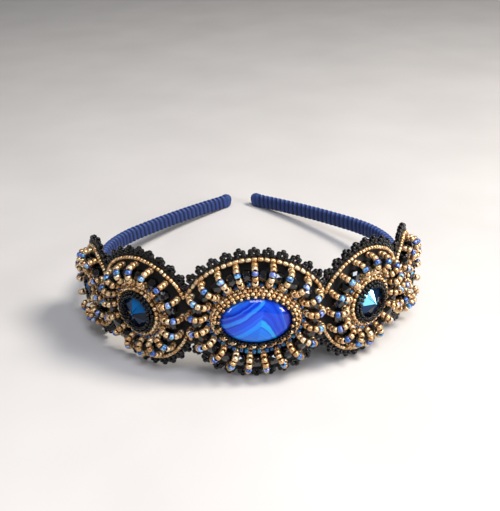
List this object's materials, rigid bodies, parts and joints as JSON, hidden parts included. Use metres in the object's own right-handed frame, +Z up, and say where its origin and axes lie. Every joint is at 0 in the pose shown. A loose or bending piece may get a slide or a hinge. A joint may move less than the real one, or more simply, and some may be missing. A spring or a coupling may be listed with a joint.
{
  "type": "beaded headband",
  "caption": "Headband wound with blue cord, with bead-embroidered medallions of gold, black and blue beads round a blue agate cabochon and faceted crystals.",
  "frame": {"origin": "middle of the footprint, on the surface it lies on", "axes": "-Y towards the front medallion, +X towards the left side of the wearer, +Z up as it lies"},
  "size_m": [0.1362, 0.1552, 0.0497],
  "materials": {
    "blue_cord": "wound satin cord",
    "black_felt": "felt",
    "black_glass": "opaque gloss",
    "gold_glass": "gold-coated glass beads",
    "blue_agate": "polished stone",
    "blue_crystal": "foiled cut crystal"
  },
  "bodies": {
    "root": {"wrapped_band": "blue_cord", "backing": "black_felt", "picot_edging": "black_glass", "centre_cabochon": "blue_agate", "centre_bezel": "gold_glass", "centre_faceted_beads": "black_glass", "centre_arches": "gold_glass", "left_round_crystal": "blue_crystal", "left_round_bezel": "gold_glass", "left_round_faceted_beads": "black_glass", "left_round_arches": "gold_glass", "right_round_crystal": "blue_crystal", "right_round_bezel": "gold_glass", "right_round_faceted_beads": "black_glass", "right_round_arches": "gold_glass", "left_outer_crystal": "blue_crystal", "left_outer_bezel": "gold_glass", "left_outer_faceted_beads": "black_glass", "left_outer_arches": "gold_glass", "right_outer_crystal": "blue_crystal", "right_outer_bezel": "gold_glass", "right_outer_faceted_beads": "black_glass", "right_outer_arches": "gold_glass"}
  },
  "joints": []
}
